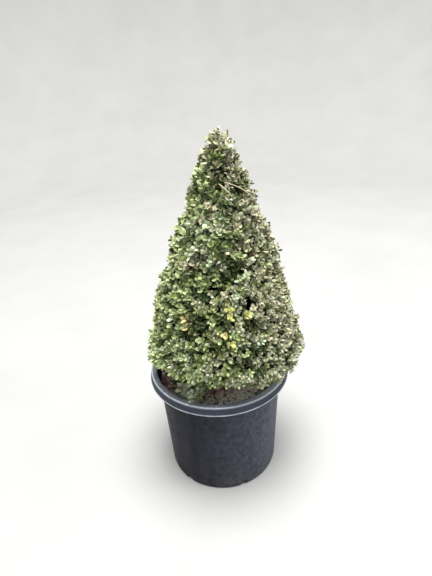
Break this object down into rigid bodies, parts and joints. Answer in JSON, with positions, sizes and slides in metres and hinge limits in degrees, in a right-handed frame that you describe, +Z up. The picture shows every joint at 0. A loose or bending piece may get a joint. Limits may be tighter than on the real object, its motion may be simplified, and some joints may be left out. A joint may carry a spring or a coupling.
{
  "type": "potted boxwood cone topiary",
  "caption": "Boxwood shrub clipped to a slightly bowed cone, with a short stem and low boughs, growing in a round black nursery pot with a deep rolled rim.",
  "frame": {"origin": "centre of the pot's flat underside, on the surface that the pot stands on", "axes": "+Z up along the pot's axis, -Y towards the plant's front, +X to the right seen from the front"},
  "size_m": [0.3825, 0.3837, 0.856],
  "materials": {
    "pot": "matte moulded polyethylene, dusty, with rubbed rim edges",
    "soil": "potting mix under a layer of brown bark chips",
    "bark": "grey-tan fissured bark on stem, boughs and twigs",
    "leaves": "small leathery evergreen leaves, mixed green, yellow-green, cream-backed and bronzed"
  },
  "bodies": {
    "root": {"pot_wall": "pot", "pot_rim": "pot", "root_ball": "soil", "stem": "bark", "bough_1": "bark", "bough_2": "bark", "bough_3": "bark", "bough_4": "bark", "bough_5": "bark", "bough_6": "bark", "skirt_front_right": "leaves", "skirt_right": "leaves", "skirt_back": "leaves", "skirt_left": "leaves", "low_spray": "leaves", "flank_right": "leaves", "flank_back": "leaves", "flank_left": "leaves", "shoulder_front": "leaves", "shoulder_right": "leaves", "shoulder_left": "leaves", "crown_tip": "leaves"}
  },
  "joints": []
}
